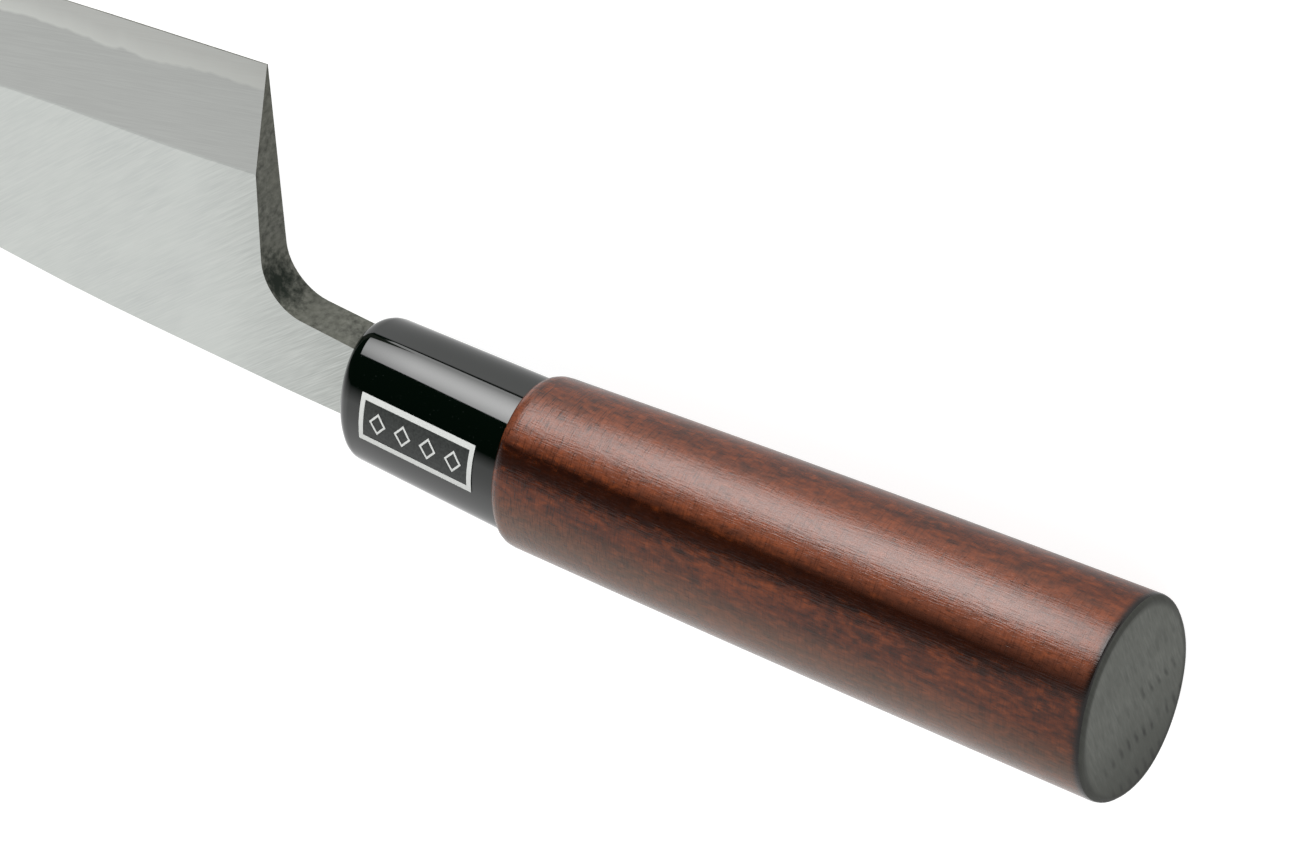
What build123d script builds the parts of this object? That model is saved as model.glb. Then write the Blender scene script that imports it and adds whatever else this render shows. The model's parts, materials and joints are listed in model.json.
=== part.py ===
"""Deba knife: a laminated single bevel blade in an oval wooden handle with a plastic ferrule.

X runs from the butt to the tip along the handle axis, Y towards the spine and Z towards the
bevelled side. The origin is the centre of the flat butt face. Lengths are in millimetres.
"""
from build123d import *
import math
import os

# Blade outline, seen from the bevelled side
blade_length = 165.0          # heel corner to tip
heel_height = 49.7            # edge to spine at the heel
spine_offset = 5.45           # spine above the handle axis at the heel
heel_setback = 14.35          # ferrule mouth to the heel corner
choil_lean = 2.7              # the choil line leans towards the tip by this much
choil_radius = 7.0            # inside corner between choil and neck
neck_underside = 8.0          # neck below the axis where the choil radius ends
neck_rise = 1.5               # the underside rises by this much towards the ferrule
spine_rise = 0.3              # the spine rises by this much from the heel to the ferrule
spine_length_shares = (0.0, 0.13, 0.27, 0.345, 0.6, 0.8, 1.0)
spine_drop_shares = (0.0, 0.017, 0.043, 0.066, 0.146, 0.25, 0.388)
edge_length_shares = (0.0, 0.219, 0.4, 0.6, 0.8, 0.92, 1.0)
edge_rise_shares = (0.0, 0.03, 0.068, 0.143, 0.276, 0.424, 0.612)

# Blade thickness and grinds
flat_side_offset = 3.39       # flat back of the blade below the handle axis
blade_thickness = 6.22        # at the ferrule, on the handle axis
distal_taper = 1.5            # thickness lost from the ferrule to the tip
cross_taper = 2.8             # thickness lost from the spine to the edge, over the heel height
bevel_width = 15.3            # edge to shinogi line
edge_land = 0.16              # thickness left at the edge
hard_steel_thickness = 1.3
hollow_depth = 0.35
hollow_spine_rim = 3.5
hollow_edge_rim = 2.2
hollow_heel_rim = 7.0
hollow_tip_rim = 16.0
hollow_depth_shares = (0.15, 0.8, 1.0, 1.0, 0.9, 0.6, 0.15)

# Tang
tang_length = 86.0            # inside the handle
tang_end_height = 5.0
tang_end_thickness = 3.2
tang_step = 0.5               # the neck is filed down by this much where it enters the ferrule
tang_stand_off = 0.4          # the step stands clear of the ferrule mouth
tang_chamfer = 1.6

# Handle: half sizes from the axis towards the back, the belly, the bevelled side and the flat side
wood_length = 92.6            # butt face to the ferrule
butt_back = 14.15
butt_belly = 14.1
butt_ridge = 13.1
butt_palm = 11.2
middle_back = 13.4
middle_belly = 13.05
middle_ridge = 12.45
middle_palm = 10.35
butt_ease = 0.75
shoulder_length = 2.2         # rounded shoulder next to the ferrule
wood_proud = 1.2              # the wood stands above the ferrule by this much

# Ferrule
ferrule_length = 29.2
ferrule_wall = 1.8
ferrule_front_wall = 3.0
ferrule_front_radius = 2.8
ferrule_rear_back = 11.4
ferrule_rear_belly = 9.8
ferrule_rear_ridge = 10.3
ferrule_rear_palm = 8.6
ferrule_front_back = 10.1
ferrule_front_belly = 10.1
ferrule_front_ridge = 9.0
ferrule_front_palm = 8.7

# Fits
glue_gap = 0.1                # tenon in the ferrule
bedding_thickness = 0.5       # resin round the tang
bedding_setback = 0.4         # resin below the ferrule mouth
cutter_overrun = 8.0

# Shape of the handle section: the arms of its quarters, as shares of their half sizes, first at
# the back or belly and then at the widest line. The section is a soft D with a full back corner.
butt_back_arm_shares = (0.51, 0.54)
butt_belly_arm_shares = (0.55, 0.62)
front_back_arm_shares = (0.70, 0.69)
front_belly_arm_shares = (0.56, 0.48)
palm_arm_shares = (0.6, 0.46)
butt_lift_share = 0.049       # how far the widest line on the bevelled side lies towards the back
front_lift_share = 0.119
palm_lift_share = 0.015       # the same on the flat side
butt_bands = 3                # narrow bands that make up each rounding
shoulder_bands = 4
nose_bands = 6
grip_bands = 5                # long straight bands that follow the slight barrel of the grip
taper_bands = 3               # the same along the ferrule and the tenon in it

handle_length = wood_length + ferrule_length
heel_x = handle_length + heel_setback
heel_y = spine_offset - heel_height
tip_x = heel_x + blade_length


def along_wood(x, butt_shares, front_shares):
    """Shares at x, which change evenly from the butt to the ferrule and stay the same in it."""
    share = min(max(x / wood_length, 0), 1)
    return [a + (b - a) * share for a, b in zip(butt_shares, front_shares)]


def quarter(x, start_y, side_y, side_z, arm_shares):
    """Control points of a quarter of the oval, from the back or belly to the widest line."""
    start_arm, side_arm = arm_shares
    return [
        (x, start_y, 0),
        (x, start_y, start_arm * side_z),
        (x, side_y + side_arm * (start_y - side_y), side_z),
        (x, side_y, side_z),
    ]


def oval(x, back, belly, ridge, palm):
    """The four smoothly joined quarters of the oval across the handle at x."""
    back_arms = along_wood(x, butt_back_arm_shares, front_back_arm_shares)
    belly_arms = along_wood(x, butt_belly_arm_shares, front_belly_arm_shares)
    lift_share = along_wood(x, [butt_lift_share], [front_lift_share])[0]
    ridge_y = (back + belly) * lift_share
    palm_y = (back + belly) * palm_lift_share
    return [
        quarter(x, back, ridge_y, ridge, back_arms),
        quarter(x, -belly, ridge_y, ridge, belly_arms)[::-1],
        quarter(x, -belly, palm_y, -palm, palm_arm_shares),
        quarter(x, back, palm_y, -palm, palm_arm_shares)[::-1],
    ]


def band(first, last):
    """Four straight patches, side by side, from one oval to the next."""
    return [Face.make_bezier_surface(list(curves)) for curves in zip(first, last)]


def cap(oval_curves):
    """Flat end of a handle piece."""
    return Face(Wire([Bezier(*points) for points in oval_curves]))


def bar(ovals):
    """Solid that runs through the ovals in straight bands, between two flat ends."""
    patches = [patch for pair in zip(ovals, ovals[1:]) for patch in band(*pair)]
    return Solid(Shell([cap(ovals[0])] + patches + [cap(ovals[-1])]))


def rounding(x, sizes, length, rise, bands):
    """Ovals along a quarter ellipse that comes in from sizes at x by rise, over length."""
    ovals = []
    for step in range(bands + 1):
        angle = math.pi / 2 * step / bands
        inset = rise * (1 - math.cos(angle))
        ovals.append(oval(x + length * math.sin(angle), *[size - inset for size in sizes]))
    return ovals


def ferrule_sizes(x, inset):
    """Half sizes of the ferrule at x, drawn in by inset."""
    share = (x - wood_length) / ferrule_length
    rear = (ferrule_rear_back, ferrule_rear_belly, ferrule_rear_ridge, ferrule_rear_palm)
    front = (ferrule_front_back, ferrule_front_belly, ferrule_front_ridge, ferrule_front_palm)
    return [a + (b - a) * share - inset for a, b in zip(rear, front)]


def ferrule_taper(start_x, end_x, inset):
    """Evenly spaced ovals of the tapered ferrule, drawn in by inset."""
    ovals = []
    for step in range(taper_bands + 1):
        x = start_x + (end_x - start_x) * step / taper_bands
        ovals.append(oval(x, *ferrule_sizes(x, inset)))
    return ovals


def grip_ovals(start_x, start_sizes, end_x, end_sizes):
    """Ovals of the grip, whose sides are parabolas through the middle sizes."""
    middle = (middle_back, middle_belly, middle_ridge, middle_palm)
    ovals = []
    for step in range(grip_bands + 1):
        share = step / grip_bands
        sizes = [
            a + (b - a) * share + (2 * m - a - b) * 2 * share * (1 - share)
            for a, m, b in zip(start_sizes, middle, end_sizes)
        ]
        ovals.append(oval(start_x + (end_x - start_x) * share, *sizes))
    return ovals


def rectangle(x, centre_y, centre_z, height, thickness):
    """Closed rectangle across the handle at x."""
    corners = [
        (x, centre_y + side_y * height / 2, centre_z + side_z * thickness / 2)
        for side_y, side_z in ((-1, -1), (1, -1), (1, 1), (-1, 1))
    ]
    return Wire.make_polygon(corners, close=True)


def spine_points():
    return [
        (heel_x + blade_length * along, spine_offset - heel_height * drop)
        for along, drop in zip(spine_length_shares, spine_drop_shares)
    ]


def edge_points():
    return [
        (heel_x + blade_length * along, heel_y + heel_height * rise)
        for along, rise in zip(edge_length_shares, edge_rise_shares)
    ]


def blade_outline(start_x):
    """Outline of blade and neck, from the neck at start_x round the tip and back."""
    choil_top = (heel_x, heel_y)
    inner_corner = (heel_x + choil_lean, -neck_underside)
    underside_start = (start_x, neck_rise - neck_underside)
    choil = FilletPolyline(choil_top, inner_corner, underside_start, radius=choil_radius)
    edge = Spline(*edge_points())
    spine = Spline(*spine_points())
    back_line = Line(spine @ 0, (start_x, spine_offset + spine_rise))
    start = Line((start_x, spine_offset + spine_rise), underside_start)
    return Face(Wire([edge, spine, back_line, start] + list(choil.edges())))


def bevel_side_plane():
    """Plane of the ground flat of the bevelled side."""
    normal = Vector(distal_taper / (tip_x - handle_length), -cross_taper / heel_height, 1)
    height = blade_thickness - flat_side_offset
    return Plane(origin=(handle_length, 0, height), z_dir=normal)


def bevel_side_height(point):
    """Height of that flat above or below the handle axis at a point."""
    plane = bevel_side_plane()
    offset = plane.origin - point
    normal = plane.z_dir
    return (offset.X * normal.X + offset.Y * normal.Y) / normal.Z + plane.origin.Z


def bevel_cutter():
    """Everything above the bevel, which is ground straight from the edge to the shinogi line."""
    edge = Spline(*edge_points())
    stations = [(0, -cutter_overrun)]
    stations += [(share, 0) for share in edge_length_shares]
    stations += [(1, cutter_overrun)]
    sections = []
    for share, beyond in stations:
        along = edge.tangent_at(share, position_mode=PositionMode.PARAMETER)
        foot = edge.position_at(share, position_mode=PositionMode.PARAMETER) + along * beyond
        inward = Vector(-along.Y, along.X, 0)
        shinogi = foot + inward * bevel_width
        low = edge_land - flat_side_offset
        slope = (bevel_side_height(shinogi) - low) / bevel_width
        outer = foot - inward * cutter_overrun
        inner = shinogi + inward * cutter_overrun
        bottom_outer = Vector(outer.X, outer.Y, low - slope * cutter_overrun)
        bottom_inner = Vector(inner.X, inner.Y, low + slope * (bevel_width + cutter_overrun))
        top_outer = Vector(outer.X, outer.Y, bottom_inner.Z)
        sections.append(Wire.make_polygon([bottom_outer, bottom_inner, top_outer], close=True))
    return Solid.make_loft(sections)


def outline_y(curve, x):
    """Height of an outline curve at x."""
    line = Edge.make_line((x, -heel_height, 0), (x, heel_height, 0))
    return line.intersect(curve)[0].center().Y


def hollow_cutter():
    """Shallow hollow of the flat side, a round-bottomed trough that follows the outline."""
    edge = Spline(*edge_points())
    spine = Spline(*spine_points())
    first = heel_x + hollow_heel_rim
    last = tip_x - hollow_tip_rim
    below = -flat_side_offset - hollow_depth
    sections = []
    for along, depth in zip(edge_length_shares, hollow_depth_shares):
        x = first + (last - first) * along
        low = outline_y(edge, x) + hollow_edge_rim
        high = outline_y(spine, x) - hollow_spine_rim
        roof = depth * hollow_depth - flat_side_offset
        low_rim = (x, low, -flat_side_offset)
        high_rim = (x, high, -flat_side_offset)
        arc = ThreePointArc(low_rim, (x, (low + high) / 2, roof), high_rim)
        sides = Polyline(high_rim, (x, high, below), (x, low, below), low_rim)
        sections.append(Wire([arc] + list(sides.edges())))
    return Solid.make_loft(sections)


def tang_size(x):
    """Centre, height and thickness of the tang at x, inside the ferrule and handle."""
    mouth_back = spine_offset + spine_rise - tang_step
    mouth_belly = neck_rise - neck_underside + tang_step
    mouth_height = mouth_back - mouth_belly
    mouth_thickness = blade_thickness - 2 * tang_step
    share = (handle_length - x) / tang_length
    centre_y = (mouth_back + mouth_belly) / 2
    centre_z = blade_thickness / 2 - flat_side_offset
    height = mouth_height + (tang_end_height - mouth_height) * share
    thickness = mouth_thickness + (tang_end_thickness - mouth_thickness) * share
    return centre_y, centre_z, height, thickness


def tang_section(x, grow):
    centre_y, centre_z, height, thickness = tang_size(x)
    return rectangle(x, centre_y, centre_z, height + 2 * grow, thickness + 2 * grow)


def tang():
    front = handle_length + tang_stand_off
    end = handle_length - tang_length
    body = Solid.make_loft([tang_section(end, 0), tang_section(front, 0)], ruled=True)
    end_face = body.faces().sort_by(Axis.X)[0]
    return chamfer(end_face.edges(), tang_chamfer * tang_end_thickness / tang_end_height)


def whole_blade():
    """Blade, neck and tang as one forging, before the two steels are told apart."""
    outline = blade_outline(handle_length + tang_stand_off)
    blank = extrude(outline.moved(Location((0, 0, -flat_side_offset))), blade_thickness * 2)
    plane = bevel_side_plane()
    blank = split(blank, bisect_by=plane, keep=Keep.BOTTOM)
    blank = blank - bevel_cutter() - hollow_cutter()
    return blank + tang()


def hard_steel_zone():
    """Space of the hard steel layer, from the flat side up and from the neck to the tip."""
    length = tip_x - heel_x + cutter_overrun
    height = 2 * heel_height
    thickness = hard_steel_thickness + cutter_overrun
    corner = Vector(heel_x + choil_lean - choil_radius, -heel_height, -flat_side_offset - cutter_overrun)
    zone = Solid.make_box(length + choil_radius, height, thickness)
    return zone.moved(Location(corner))


def ferrule():
    radius = ferrule_front_radius
    round_x = handle_length - radius
    side = ferrule_taper(wood_length, round_x, 0)
    nose = rounding(round_x, ferrule_sizes(round_x, 0), radius, radius, nose_bands)
    outside = bar(side[:-1] + nose)
    socket_end = handle_length - ferrule_front_wall
    socket = bar(ferrule_taper(wood_length - cutter_overrun, socket_end, ferrule_wall))
    mouth = Solid.make_loft([
        tang_section(socket_end - cutter_overrun, bedding_thickness),
        tang_section(handle_length + cutter_overrun, bedding_thickness),
    ], ruled=True)
    return outside - socket - mouth


def tang_slot():
    """Tapered slot that the handle is cut with, from the tenon to past the end of the tang."""
    end = handle_length - tang_length - bedding_thickness
    return Solid.make_loft([
        tang_section(end, bedding_thickness),
        tang_section(handle_length - ferrule_front_wall, bedding_thickness),
    ], ruled=True)


def handle_wood():
    """Flared and slightly barrelled grip with an eased butt, a round shoulder and a tenon."""
    butt = (butt_back, butt_belly, butt_ridge, butt_palm)
    front = [size + wood_proud for size in ferrule_sizes(wood_length, 0)]
    shoulder_x = wood_length - shoulder_length
    eased = rounding(butt_ease, butt, -butt_ease, butt_ease, butt_bands)
    grip = grip_ovals(butt_ease, butt, shoulder_x, front)
    shoulder = rounding(shoulder_x, front, shoulder_length, wood_proud, shoulder_bands)
    body = bar(eased[::-1] + grip[1:-1] + shoulder)
    tenon_end = handle_length - ferrule_front_wall
    tenon = bar(ferrule_taper(wood_length, tenon_end, ferrule_wall + glue_gap))
    return body + tenon - tang_slot()


def tang_bedding():
    """Resin between the tang and the handle, from the end of the slot to the ferrule mouth."""
    end = handle_length - tang_length - bedding_thickness
    front = handle_length - bedding_setback
    filled = Solid.make_loft([
        tang_section(end, bedding_thickness),
        tang_section(front, bedding_thickness),
    ], ruled=True)
    return filled - tang()


def save(name, shape):
    solids = shape.solids()
    solid = solids[0] if len(solids) == 1 else Compound(children=solids)
    export_step(solid, os.path.join("parts", name + ".step"))


os.makedirs("parts", exist_ok=True)
blade = whole_blade()
zone = hard_steel_zone()
save("blade_soft_iron", blade - zone)
save("blade_hard_steel", blade & zone)
save("ferrule", ferrule())
save("handle_wood", handle_wood())
save("tang_bedding", tang_bedding())
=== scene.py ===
"""Deba knife: the finishes of the laminated blade, the collar, the wooden handle and its label."""
import json
import math

import bmesh
import bpy
from mathutils import Matrix, Quaternion, Vector


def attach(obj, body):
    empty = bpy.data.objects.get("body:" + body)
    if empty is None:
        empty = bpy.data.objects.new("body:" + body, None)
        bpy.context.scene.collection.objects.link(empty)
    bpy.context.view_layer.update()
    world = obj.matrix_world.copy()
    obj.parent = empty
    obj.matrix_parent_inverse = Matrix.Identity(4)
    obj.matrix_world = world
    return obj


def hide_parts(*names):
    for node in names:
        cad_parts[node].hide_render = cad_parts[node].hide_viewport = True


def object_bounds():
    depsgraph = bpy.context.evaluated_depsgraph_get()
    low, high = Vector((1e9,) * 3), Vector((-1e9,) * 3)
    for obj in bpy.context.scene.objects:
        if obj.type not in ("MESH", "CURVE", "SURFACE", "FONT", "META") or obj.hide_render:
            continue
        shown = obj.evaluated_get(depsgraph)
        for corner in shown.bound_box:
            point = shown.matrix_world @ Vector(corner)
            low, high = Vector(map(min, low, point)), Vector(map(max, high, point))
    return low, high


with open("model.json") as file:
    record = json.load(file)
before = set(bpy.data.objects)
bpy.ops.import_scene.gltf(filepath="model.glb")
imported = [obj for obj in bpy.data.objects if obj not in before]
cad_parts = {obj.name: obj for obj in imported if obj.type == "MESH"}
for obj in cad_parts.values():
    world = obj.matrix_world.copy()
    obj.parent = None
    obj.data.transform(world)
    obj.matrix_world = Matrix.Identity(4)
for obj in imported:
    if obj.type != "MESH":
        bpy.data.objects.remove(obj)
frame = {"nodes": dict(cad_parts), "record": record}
nodes = frame["nodes"]
cad_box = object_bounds()
mm = 0.001


# Blade, both steels.
# Soft iron with a hard steel layer forge welded on its back, then ground: slanting lines on the
# flat, finer ones along the bevel. The choil and neck keep their dark forging scale.
def linear(code):
    """Linear colour of an sRGB hex code."""
    parts = [int(code[i:i + 2], 16) / 255 for i in (1, 3, 5)]
    return [c / 12.92 if c <= 0.04045 else ((c + 0.055) / 1.055) ** 2.4 for c in parts] + [1]


def add(tree, kind, *values, **settings):
    """Adds a node with its settings and returns its first output.

    Each value goes to the next socket in use: a number, a colour code, or an output to link.
    """
    node = tree.nodes.new("ShaderNode" + kind)
    for name, setting in settings.items():
        setattr(node, name, setting)
    sockets = [socket for socket in node.inputs if socket.enabled]
    for socket, value in zip(sockets, values):
        if isinstance(value, bpy.types.NodeSocket):
            tree.links.new(value, socket)
        elif value is not None:
            socket.default_value = linear(value) if isinstance(value, str) else value
    return next(socket for socket in node.outputs if socket.enabled)


def blank_material(name):
    """New material: itself, its node tree, its shader and the place of a point on the piece."""
    material = bpy.data.materials.new(name)
    material.use_nodes = True
    tree = material.node_tree
    place = add(tree, "TexCoord").node.outputs["Object"]
    return material, tree, tree.nodes["Principled BSDF"], place


def grain(tree, place, size, turn=(0, 0, 0), detail=2.0):
    """Noise from 0 to 1 whose features have that size in millimetres along each turned axis."""
    laid = add(tree, "Mapping", place, (0, 0, 0), turn, [length * mm for length in size],
               vector_type="TEXTURE")
    return add(tree, "TexNoise", laid, 1.0, detail, 0.6)


def ground_steel(tree, place):
    """Colour of the ground flat and bevel, and their grinding lines."""
    mounts = {mount["name"]: mount for mount in frame["record"]["mounts"]}
    flat = mounts["bevel_side_flat"]
    back_z = mounts["back_rim"]["pos_m"][2]
    x, _, z = add(tree, "SeparateXYZ", place).node.outputs

    # a point lies in the plane of the flat, or below it down the bevel
    below_flat = 0.02 * mm
    on_bevel = 0.08 * mm
    level = add(tree, "VectorMath", place, flat["axis"], operation="DOT_PRODUCT")
    flat_level = Vector(flat["axis"]).dot(Vector(flat["pos_m"]))
    bevel = add(tree, "MapRange", level, flat_level - below_flat, flat_level - on_bevel)

    # the weld line wanders along the bevel in a long wave with ripples on it, and the hard side
    # has a pale border
    long_wave = 41 * mm
    wave_start = -25.1
    wave_depth = -0.11 * mm
    ripple_depth = -0.75 * mm
    phase = add(tree, "Math", x, 2 * math.pi / long_wave, wave_start, operation="MULTIPLY_ADD")
    wander = add(tree, "Math", phase, operation="COSINE")
    ripple = grain(tree, place, (7, 400, 400))
    height = add(tree, "Math", z, back_z, operation="SUBTRACT")
    height = add(tree, "Math", wander, wave_depth, height, operation="MULTIPLY_ADD")
    height = add(tree, "Math", ripple, ripple_depth, height, operation="MULTIPLY_ADD")
    weld = add(tree, "MapRange", height, 0.83 * mm, 0.95 * mm)
    border = add(tree, "MapRange", height, 0.19 * mm, 0.84 * mm)

    # grinding lines, drawn twice as coarse as the real grit so that they show
    flat_slant = (0, 0, math.radians(35))
    bevel_slant = (0, 0, math.radians(9))
    flat_lines = grain(tree, place, (7, 0.2, 3), flat_slant, 3.0)
    bevel_lines = grain(tree, place, (9, 0.14, 3), bevel_slant)
    lines = add(tree, "Mix", bevel, flat_lines, bevel_lines, data_type="FLOAT")

    cloud_share = add(tree, "MapRange", grain(tree, place, (18, 7, 9), flat_slant), 0.3, 0.7)
    flat_colour = add(tree, "Mix", cloud_share, "#c3c7c4", "#cbcfcb", data_type="RGBA")
    neck_share = add(tree, "MapRange", x, 150 * mm, 125 * mm, 0.0, 0.7)
    flat_colour = add(tree, "Mix", neck_share, flat_colour, "#9ea19d", data_type="RGBA")
    hard_colour = add(tree, "Mix", border, "#cbccc8", "#dee0db", data_type="RGBA")
    heel_share = add(tree, "MapRange", x, 190 * mm, 135 * mm, 0.0, 0.6)
    hard_colour = add(tree, "Mix", heel_share, hard_colour, "#c4c5c0", data_type="RGBA")
    bevel_colour = add(tree, "Mix", weld, hard_colour, "#bfc1be", data_type="RGBA")
    colour = add(tree, "Mix", bevel, flat_colour, bevel_colour, data_type="RGBA")

    # the lines are brighter than the ground between them, and half as strong on the bevel
    line_share = add(tree, "MapRange", lines, 0.35, 0.7, 0.0, 0.7)
    strength = add(tree, "MapRange", bevel, 0.0, 1.0, 1.0, 0.5)
    line_share = add(tree, "Math", line_share, strength, operation="MULTIPLY")
    return add(tree, "Mix", line_share, colour, "#d2d5d1", data_type="RGBA"), lines


def forging_scale(tree, place):
    """Colour of the scale, blacker in the corner of the choil, and its mottle."""
    choil_corner = (134.6 * mm, -12.4 * mm, 0)
    mottle = grain(tree, place, (0.9, 0.9, 0.9), detail=4.0)
    mottle_share = add(tree, "MapRange", mottle, 0.3, 0.7)
    colour = add(tree, "Mix", mottle_share, "#393a34", "#71726a", data_type="RGBA")
    broad_share = add(tree, "MapRange", grain(tree, place, (5, 5, 5)), 0.4, 0.65, 0.0, 0.5)
    colour = add(tree, "Mix", broad_share, colour, "#67685f", data_type="RGBA")
    from_corner = add(tree, "VectorMath", place, choil_corner, operation="DISTANCE")
    from_corner = add(tree, "Math", mottle, 4 * mm, from_corner, operation="MULTIPLY_ADD")
    # the scale is drawn blacker towards the corner of the choil
    corner_blackening = add(tree, "MapRange", from_corner, 5.1 * mm, 7 * mm, 0.97, 0.0)
    return add(tree, "Mix", corner_blackening, colour, "#141d15", data_type="RGBA"), mottle


def laminated_steel(name):
    """Satin ground steel where a face looks up or down, and dull black scale on steep faces."""
    material, tree, shader, place = blank_material(name)
    ground_colour, lines = ground_steel(tree, place)
    scale_colour, mottle = forging_scale(tree, place)
    facing = add(tree, "SeparateXYZ", place.node.outputs["Normal"]).node.outputs["Z"]
    upright = add(tree, "Math", facing, operation="ABSOLUTE")
    scaled = add(tree, "MapRange", upright, 0.8, 0.6)
    colour = add(tree, "Mix", scaled, ground_colour, scale_colour, data_type="RGBA")
    tree.links.new(colour, shader.inputs["Base Color"])
    tree.links.new(add(tree, "MapRange", scaled, 0.0, 1.0, 1.0, 0.3), shader.inputs["Metallic"])
    ground_dull = add(tree, "MapRange", lines, 0.2, 0.8, 0.36, 0.31)
    scale_dull = add(tree, "MapRange", mottle, 0.2, 0.8, 0.55, 0.75)
    dull = add(tree, "Mix", scaled, ground_dull, scale_dull, data_type="FLOAT")
    tree.links.new(dull, shader.inputs["Roughness"])
    shader.inputs["Specular IOR Level"].default_value = 0.25
    relief = add(tree, "Mix", scaled, lines, mottle, data_type="FLOAT")
    tree.links.new(add(tree, "Bump", 0.09, 0.02 * mm, None, relief), shader.inputs["Normal"])
    return material


def dress(piece, *materials):
    """Gives a piece its materials in place of what it had."""
    piece.data.materials.clear()
    for material in materials:
        piece.data.materials.append(material)


dress(nodes["blade_soft_iron"], laminated_steel("ground_soft_iron"))
dress(nodes["blade_hard_steel"], laminated_steel("ground_hard_steel"))


# Tang bedding.
# Resin that was poured into the slot round the tang, which only shows as a thin dark line round
# the neck. It sets matt, with dust and small bubbles in it.
def cured_resin():
    """Filled epoxy that has set: matt and nearly black."""
    material, tree, shader, place = blank_material("cured_resin")
    bubbles = grain(tree, place, (0.6, 0.6, 0.6), detail=3.0)
    bubble_share = add(tree, "MapRange", bubbles, 0.3, 0.7)
    colour = add(tree, "Mix", bubble_share, "#191613", "#2b2723", data_type="RGBA")
    tree.links.new(colour, shader.inputs["Base Color"])
    shader.inputs["Roughness"].default_value = 0.6
    tree.links.new(add(tree, "Bump", 0.3, 0.05 * mm, None, bubbles), shader.inputs["Normal"])
    return material


dress(nodes["tang_bedding"], cured_resin())


# Ferrule.
# A black plastic collar, moulded as a cup and polished until it mirrors the room. Its front
# edge is well rounded. It is glued over the tenon of the handle.
def smooth_copy(node, name):
    """Copy of a node with its loose triangles merged, so that light runs evenly over its bands.

    Only the flat end faces and the inner corners stay sharp.
    """
    flat_end = 0.9999
    sharpest_band = math.radians(35)
    shape = bmesh.new()
    shape.from_mesh(nodes[node].data)
    bmesh.ops.remove_doubles(shape, verts=shape.verts, dist=0.001 * mm)
    for face in shape.faces:
        face.smooth = True
    for edge in shape.edges:
        at_end = any(abs(face.normal.x) > flat_end for face in edge.link_faces)
        edge.smooth = not at_end and edge.calc_face_angle(math.pi) < sharpest_band
    for layer in list(shape.loops.layers.float_vector.keys()):
        shape.loops.layers.float_vector.remove(shape.loops.layers.float_vector[layer])
    mesh = bpy.data.meshes.new(name)
    shape.to_mesh(mesh)
    shape.free()
    if "custom_normal" in mesh.attributes:
        mesh.attributes.remove(mesh.attributes["custom_normal"])
    piece = bpy.data.objects.new(name, mesh)
    bpy.context.collection.objects.link(piece)
    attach(piece, "root")
    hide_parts(node)
    return piece


def polished_black_plastic():
    """Deep black with clear reflections, a trace of haze and a few specks of dust."""
    material, tree, shader, place = blank_material("polished_black_plastic")
    haze = grain(tree, place, (4, 1.5, 1.5), detail=3.0)
    dust = grain(tree, place, (0.35, 0.35, 0.35), detail=1.0)
    dust_share = add(tree, "MapRange", dust, 0.72, 0.8, 0.0, 0.5)
    colour = add(tree, "Mix", dust_share, "#010703", "#3a3b3a", data_type="RGBA")
    tree.links.new(colour, shader.inputs["Base Color"])
    tree.links.new(add(tree, "MapRange", haze, 0.3, 0.8, 0.03, 0.07), shader.inputs["Roughness"])
    shader.inputs["IOR"].default_value = 1.68
    tree.links.new(add(tree, "Bump", 0.01, 0.05 * mm, None, haze), shader.inputs["Normal"])
    return material


collar = smooth_copy("ferrule", "ferrule_polished")
dress(collar, polished_black_plastic())


# Handle.
# Close-grained hardwood, turned to an oval, stained reddish brown and lacquered to a half gloss.
# The stain takes unevenly, in flecks along the grain. The butt is sawn, stained grey and sealed.
butt_depth = 0.35 * mm
ray_lean = math.radians(-19)


def painted_shade_and_sheen(tree, x, angle, mottle, colour):
    """Painted shade, highlight and reflection: a dark streak of painted shade that deepens the
    reflection of the room's dark gap, the ridge painted paler as a highlight and the far side
    painted greyer as the table's reflection.

    The angle runs round the handle from its bevelled side towards the spine.
    """
    streak_angle = math.radians(-40)
    askew = math.radians(-9) / (85 * mm)
    off_streak = add(tree, "Math", x, askew, angle, operation="MULTIPLY_ADD")
    off_streak = add(tree, "Math", off_streak, streak_angle, operation="SUBTRACT")
    off_streak = add(tree, "Math", off_streak, operation="ABSOLUTE")
    off_streak = add(tree, "Math", mottle, math.radians(14), off_streak, operation="MULTIPLY_ADD")
    # painted shade: a dark streak along the handle, where the dark gap of the room reflects in the
    # lacquer
    painted_shade_share = add(tree, "MapRange", off_streak, math.radians(12), math.radians(21), 0.88, 0.0)
    colour = add(tree, "Mix", painted_shade_share, colour, "#1c0803", data_type="RGBA")

    ridge_angle = math.radians(-63)
    off_ridge = add(tree, "Math", angle, ridge_angle, operation="SUBTRACT")
    off_ridge = add(tree, "Math", off_ridge, operation="ABSOLUTE")
    # painted highlight: the ridge is painted paler along the softbox's highlight
    painted_highlight_share = add(tree, "MapRange", off_ridge, math.radians(14), math.radians(24), 0.42, 0.0)
    colour = add(tree, "Mix", painted_highlight_share, colour, "#955a44", data_type="RGBA")
    # painted reflection: the far side is painted greyer where the table reflects in the lacquer
    painted_reflection_share = add(tree, "MapRange", angle, math.radians(-8), math.radians(14), 0.0, 0.35)
    return add(tree, "Mix", painted_reflection_share, colour, "#7d5f45", data_type="RGBA")


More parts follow.
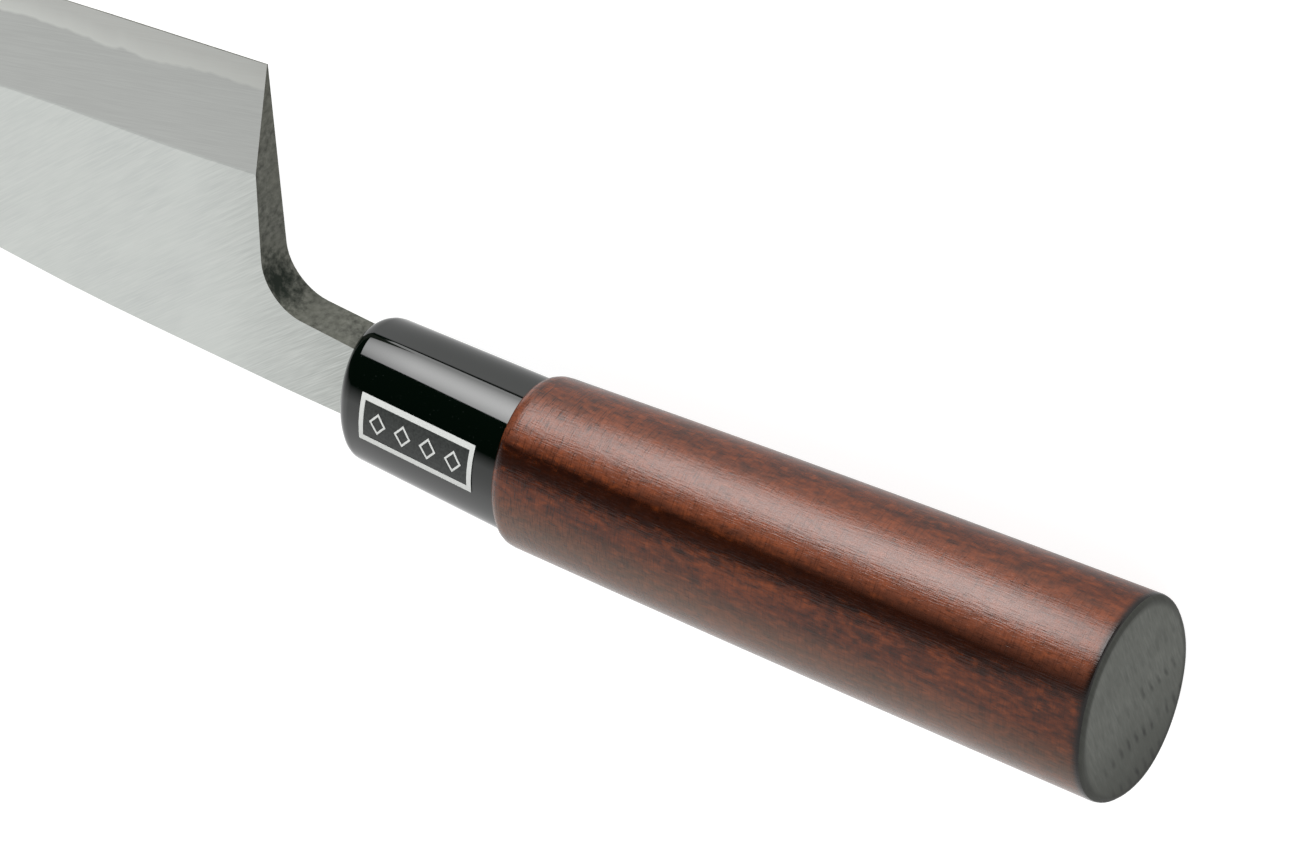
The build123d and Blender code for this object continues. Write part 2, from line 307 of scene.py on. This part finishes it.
def stained_hardwood():
    """Mottled red brown wood under a coat of lacquer, which gives one broad soft highlight; its
    colour adds painted shade, a painted highlight and a painted reflection.
    """
    material, tree, shader, place = blank_material("stained_lacquered_hardwood")
    x, y, z = add(tree, "SeparateXYZ", place).node.outputs
    mottle = grain(tree, place, (1.9, 0.8, 0.8), detail=4.0)

    broad_share = add(tree, "MapRange", grain(tree, place, (30, 6, 6)), 0.35, 0.65)
    colour = add(tree, "Mix", broad_share, "#4e200c", "#6a3012", data_type="RGBA")
    streaks = grain(tree, place, (22, 1.1, 1.1), detail=4.0)
    streak_share = add(tree, "MapRange", streaks, 0.45, 0.7, 0.0, 0.55)
    colour = add(tree, "Mix", streak_share, colour, "#2a0f07", data_type="RGBA")
    patches = grain(tree, place, (7, 2.6, 2.6), detail=3.0)
    patch_share = add(tree, "MapRange", patches, 0.5, 0.7, 0.0, 0.5)
    colour = add(tree, "Mix", patch_share, colour, "#2a160c", data_type="RGBA")
    fleck_share = add(tree, "MapRange", mottle, 0.5, 0.7, 0.0, 0.6)
    colour = add(tree, "Mix", fleck_share, colour, "#86401a", data_type="RGBA")
    speck_share = add(tree, "MapRange", mottle, 0.48, 0.3, 0.0, 0.7)
    colour = add(tree, "Mix", speck_share, colour, "#1d0d07", data_type="RGBA")

    angle = add(tree, "Math", y, z, operation="ARCTAN2")
    colour = painted_shade_and_sheen(tree, x, angle, mottle, colour)

    # open pores along the grain, and fine turning marks across it, most near the collar
    pores = grain(tree, place, (1.5, 0.22, 0.22))
    pore_share = add(tree, "MapRange", pores, 0.55, 0.75, 0.0, 0.65)
    colour = add(tree, "Mix", pore_share, colour, "#1a0b06", data_type="RGBA")
    marks = grain(tree, place, (0.2, 2, 2), detail=3.0)
    near_collar = add(tree, "MapRange", x, 55 * mm, 88 * mm, 0.4, 0.85)
    mark_share = add(tree, "MapRange", marks, 0.5, 0.7)
    mark_share = add(tree, "Math", mark_share, near_collar, operation="MULTIPLY")
    colour = add(tree, "Mix", mark_share, colour, "#200e07", data_type="RGBA")

    # the stain of the butt has crept over its rim
    rim_share = add(tree, "MapRange", x, 1.8 * mm, 0.5 * mm, interpolation_type="SMOOTHSTEP")
    colour = add(tree, "Mix", rim_share, colour, "#0d0806", data_type="RGBA")
    tree.links.new(colour, shader.inputs["Base Color"])

    tree.links.new(add(tree, "MapRange", mottle, 0.3, 0.8, 0.5, 0.6), shader.inputs["Roughness"])
    shader.inputs["Specular IOR Level"].default_value = 0.0
    shader.inputs["Coat Weight"].default_value = 1.0
    shader.inputs["Coat Roughness"].default_value = 0.2
    ridges = grain(tree, place, (2.5, 0.2, 0.2))
    relief = add(tree, "Math", marks, near_collar, ridges, operation="MULTIPLY_ADD")
    bump = add(tree, "Bump", 0.5, 0.06 * mm, None, relief)
    tree.links.new(bump, shader.inputs["Normal"])
    tree.links.new(bump, shader.inputs["Coat Normal"])
    return material


def end_grain_pores(tree, place, y, z, stain):
    """Rows of dark pores a year ring apart, clearest on the far side of the butt."""
    ring_start = 6.7 * mm
    ring_width = 5.75 * mm
    pore_pitch = 1.65 * mm
    wobble = grain(tree, place, (20, 5, 5), detail=3.0)
    ring = add(tree, "Math", y, ring_start, operation="SUBTRACT")
    ring = add(tree, "Math", wobble, 1.5 * mm, ring, operation="MULTIPLY_ADD")
    ring = add(tree, "Math", ring, 2 * math.pi / ring_width, operation="MULTIPLY")
    row = add(tree, "MapRange", add(tree, "Math", ring, operation="COSINE"), -0.2, 0.9)
    along_row = add(tree, "Math", z, math.cos(ray_lean), operation="MULTIPLY")
    along_row = add(tree, "Math", y, -math.sin(ray_lean), along_row, operation="MULTIPLY_ADD")
    along_row = add(tree, "Math", wobble, 1.2 * mm, along_row, operation="MULTIPLY_ADD")
    along_row = add(tree, "Math", along_row, 2 * math.pi / pore_pitch, operation="MULTIPLY")
    dash = add(tree, "MapRange", add(tree, "Math", along_row, operation="COSINE"), 0.0, 1.0)
    pores = add(tree, "Math", row, dash, operation="MULTIPLY")
    for share in (add(tree, "MapRange", y, -8 * mm, 9 * mm, 0.15, 1.0),
                  add(tree, "MapRange", z, 9 * mm, -2 * mm, 0.3, 1.0),
                  add(tree, "MapRange", stain, 0.3, 0.6, 0.2, 1.0)):
        pores = add(tree, "Math", pores, share, operation="MULTIPLY")
    return pores


def sealed_end_grain():
    """Sawn wood, stained grey and sealed: dull, with fine rays, dark pores and painted shade
    towards the spine side.
    """
    material, tree, shader, place = blank_material("sealed_end_grain")
    _, y, z = add(tree, "SeparateXYZ", place).node.outputs
    fine = grain(tree, place, (20, 3, 0.35), (ray_lean, 0, 0), 3.0)
    stain = grain(tree, place, (20, 4, 4))
    fine_share = add(tree, "MapRange", fine, 0.3, 0.7)
    colour = add(tree, "Mix", fine_share, "#50524d", "#61635d", data_type="RGBA")
    stain_share = add(tree, "MapRange", stain, 0.35, 0.7, 0.0, 0.4)
    colour = add(tree, "Mix", stain_share, colour, "#474943", data_type="RGBA")
    # painted shade: the end grain is painted darker towards the spine side of the butt
    spine_side_shade = add(tree, "MapRange", y, 0.0, 13 * mm, 0.0, 0.85)
    colour = add(tree, "Mix", spine_side_shade, colour, "#2b2d26", data_type="RGBA")
    pores = end_grain_pores(tree, place, y, z, stain)
    colour = add(tree, "Mix", pores, colour, "#0b0d09", data_type="RGBA")

    # the seal lies thicker and darker towards the rim of the oval
    half_height = 13.4 * mm
    half_width = 11.4 * mm
    middle_z = 0.95 * mm
    up = add(tree, "Math", y, half_height, operation="DIVIDE")
    aside = add(tree, "Math", z, middle_z, operation="SUBTRACT")
    aside = add(tree, "Math", aside, half_width, operation="DIVIDE")
    oval = add(tree, "CombineXYZ", 0.0, up, aside)
    from_middle = add(tree, "VectorMath", oval, operation="LENGTH").node.outputs["Value"]
    rim_share = add(tree, "MapRange", from_middle, 0.93, 1.01, 0.0, 0.65,
                    interpolation_type="SMOOTHSTEP")
    colour = add(tree, "Mix", rim_share, colour, "#191a14", data_type="RGBA")
    tree.links.new(colour, shader.inputs["Base Color"])
    shader.inputs["Roughness"].default_value = 0.6
    shader.inputs["Specular IOR Level"].default_value = 0.3
    tree.links.new(add(tree, "Bump", 0.2, 0.05 * mm, None, fine), shader.inputs["Normal"])
    return material


handle = smooth_copy("handle_wood", "handle_lacquered")
dress(handle, stained_hardwood(), sealed_end_grain())
for face in handle.data.polygons:
    face.material_index = int(face.center.x < butt_depth)


# Label.
# A thin dark foil on the bevelled side of the ferrule, printed in white with a plain border and
# a generic row of lozenges. It was stuck on by hand, a little out of line.
label_length = 20.4 * mm
label_width = 6.55 * mm
label_centre = Vector((106.55 * mm, -1.3 * mm, 14 * mm))
label_turn = Matrix.Rotation(math.radians(-1), 4, "Z")
foil_thickness = 0.04 * mm


def label_blank():
    """Flat rectangle of the label's size, round the origin."""
    shape = bmesh.new()
    bmesh.ops.create_grid(shape, x_segments=1, y_segments=1, size=0.5)
    bmesh.ops.scale(shape, verts=shape.verts, vec=(label_length, label_width, 1))
    return shape


def stick_on(shape, name, gap):
    """Puts a flat shape above the ferrule and lays it on its surface, gap away from it."""
    bmesh.ops.subdivide_edges(shape, edges=shape.edges, cuts=10, use_grid_fill=True)
    placed = Matrix.Translation(label_centre) @ label_turn
    bmesh.ops.transform(shape, verts=shape.verts, matrix=placed)
    mesh = bpy.data.meshes.new(name)
    shape.to_mesh(mesh)
    shape.free()
    piece = bpy.data.objects.new(name, mesh)
    bpy.context.collection.objects.link(piece)
    wrap = piece.modifiers.new("lie_on_ferrule", "SHRINKWRAP")
    wrap.wrap_method = "PROJECT"
    wrap.use_project_z = True
    wrap.use_negative_direction = True
    wrap.use_positive_direction = False
    wrap.target = collar
    wrap.offset = gap
    wall = piece.modifiers.new("foil_thickness", "SOLIDIFY")
    wall.thickness = foil_thickness
    wall.offset = 1.0
    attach(piece, "root")
    return piece


def printed_foil(name, code):
    """Coated foil or the ink on it, half gloss, with a fine speckle of wear."""
    material, tree, shader, place = blank_material(name)
    speckle = grain(tree, place, (0.4, 0.4, 0.4), detail=3.0)
    speckle_share = add(tree, "MapRange", speckle, 0.3, 0.7, 0.0, 0.12)
    colour = add(tree, "Mix", speckle_share, code, "#7c807c", data_type="RGBA")
    tree.links.new(colour, shader.inputs["Base Color"])
    shader.inputs["Roughness"].default_value = 0.45
    return material


def label_foil():
    return stick_on(label_blank(), "label_foil", foil_thickness)


def label_print():
    border = 1.1 * mm
    lozenges = 4
    lozenge_reach = 1.5 * mm
    stroke = 0.4 * mm
    shape = label_blank()
    bmesh.ops.inset_region(shape, faces=shape.faces[:], thickness=border, use_boundary=True)
    inner = min(shape.faces, key=lambda face: face.calc_center_median().length)
    bmesh.ops.delete(shape, geom=[inner], context="FACES_ONLY")
    pitch = (label_length - 2 * border) / lozenges
    for number in range(lozenges):
        middle = Matrix.Translation(((number - (lozenges - 1) / 2) * pitch, 0, 0))
        made = bmesh.ops.create_circle(shape, cap_ends=True, segments=4, radius=lozenge_reach,
                                       matrix=middle)
        lozenge = [face for face in shape.faces if made["verts"][0] in face.verts]
        bmesh.ops.inset_region(shape, faces=lozenge, thickness=stroke, use_boundary=True)
        bmesh.ops.delete(shape, geom=lozenge, context="FACES_ONLY")
    return stick_on(shape, "label_print", 2.5 * foil_thickness)


dress(label_foil(), printed_foil("black_label_foil", "#181c1a"))
dress(label_print(), printed_foil("white_label_print", "#d9dbd8"))


# Studio.
# A white table, a large softbox low on the left and a white room, with a dark gap between the
# softbox and the white wall, which the polished collar shows as a black band.
def table():
    """Matt white top under the lowest point of the knife, which takes its soft shadow."""
    half_side = 4.0
    lowest = cad_box[0].z
    shape = bmesh.new()
    bmesh.ops.create_grid(shape, x_segments=1, y_segments=1, size=half_side)
    bmesh.ops.translate(shape, verts=shape.verts, vec=(0, 0, lowest))
    mesh = bpy.data.meshes.new("table")
    shape.to_mesh(mesh)
    shape.free()
    top = bpy.data.objects.new("table", mesh)
    bpy.context.collection.objects.link(top)
    top.visible_diffuse = False
    top.visible_glossy = False
    top.visible_shadow = False
    material, _, shader, _ = blank_material("white_table")
    shader.inputs["Base Color"].default_value = linear("#b4b4b4")
    shader.inputs["Roughness"].default_value = 1.0
    shader.inputs["Specular IOR Level"].default_value = 0.0
    shader.inputs["Emission Color"].default_value = (1, 1, 1, 1)
    shader.inputs["Emission Strength"].default_value = 0.82
    dress(top, material)


def room():
    """White all round, but for a dark gap of the room, and all white to the camera."""
    world = bpy.data.worlds.new("room")
    bpy.context.scene.world = world
    world.use_nodes = True
    tree = world.node_tree
    direction = add(tree, "TexCoord").node.outputs["Generated"]
    x, y, z = add(tree, "SeparateXYZ", direction).node.outputs
    azimuth = add(tree, "Math", y, x, operation="ARCTAN2")
    elevation = add(tree, "Math", z, operation="ARCSINE")

    # the four soft edges of the gap, one of them slanted
    gap_darkness = 0.99
    slant = 0.3
    slanted = add(tree, "Math", elevation, slant, azimuth, operation="MULTIPLY_ADD")
    edges = [
        add(tree, "MapRange", azimuth, math.radians(-108), math.radians(-102)),
        add(tree, "MapRange", slanted, math.radians(24), math.radians(4)),
        add(tree, "MapRange", elevation, math.radians(-15), math.radians(-14)),
        add(tree, "MapRange", elevation, math.radians(74), math.radians(62)),
    ]
    seen = add(tree, "LightPath").node.outputs["Is Camera Ray"]
    gap = add(tree, "Math", 1.0, seen, operation="SUBTRACT")
    for edge in edges:
        gap = add(tree, "Math", gap, edge, operation="MULTIPLY")

    # the ceiling and the floor of the room are a little darker than its walls
    walls = add(tree, "Math", gap, -gap_darkness, 1.0, operation="MULTIPLY_ADD")
    overhead = add(tree, "MapRange", elevation, math.radians(35), math.radians(55), 1.0, 0.7)
    below = add(tree, "MapRange", elevation, math.radians(-55), math.radians(-20), 0.65, 1.05)
    for share in (overhead, below):
        walls = add(tree, "Math", walls, share, operation="MULTIPLY")
    background = tree.nodes["Background"]
    background.inputs["Color"].default_value = (1, 1, 1, 1)
    strength = add(tree, "Math", walls, seen, operation="MAXIMUM")
    tree.links.new(strength, background.inputs["Strength"])


def softbox():
    """Rectangular lamp, brightest a little above its middle, turned towards the collar."""
    light = bpy.data.lights.new("softbox", "AREA")
    light.shape = "RECTANGLE"
    light.size = 0.73
    light.size_y = 0.61
    light.energy = 7.8
    light.use_nodes = True
    tree = light.node_tree
    spot = add(tree, "NewGeometry").node.outputs["Parametric"]
    off_centre = add(tree, "VectorMath", spot, (0.5, 0.62, 0.0), operation="DISTANCE")
    glow = add(tree, "MapRange", off_centre, 0.0, 0.6, 1.6, 0.45)
    tree.links.new(glow, tree.nodes["Emission"].inputs["Strength"])
    lamp = bpy.data.objects.new("softbox", light)
    bpy.context.collection.objects.link(lamp)
    lit_place = Vector((110 * mm, 0, 0))
    distance = 0.8
    azimuth = math.radians(-69.5)
    elevation = math.radians(12)
    lean = Quaternion((0, 0, 1), math.radians(-11))
    level = math.cos(elevation)
    out = Vector((math.cos(azimuth) * level, math.sin(azimuth) * level, math.sin(elevation)))
    lamp.location = lit_place + out * distance
    lamp.rotation_mode = "QUATERNION"
    lamp.rotation_quaternion = (-out).to_track_quat("-Z", "Y") @ lean
    lamp.visible_camera = False


def camera():
    """A long lens above the butt, on the edge's side, turned more than a third round."""
    data = bpy.data.cameras.new("camera")
    eye = bpy.data.objects.new("camera", data)
    bpy.context.collection.objects.link(eye)
    place = Vector((-0.17999, -0.30374, 0.28994))
    aim = Vector((0.072824, -0.010384, 0.0))
    roll = math.radians(-130.633)
    eye.location = place
    eye.rotation_mode = "QUATERNION"
    eye.rotation_quaternion = (aim - place).to_track_quat("-Z", "Y") @ Quaternion((0, 0, 1), roll)
    data.sensor_width = 36
    data.lens = 104.208
    bpy.context.scene.camera = eye


table()
room()
softbox()
camera()
bpy.context.scene.view_settings.view_transform = "Standard"
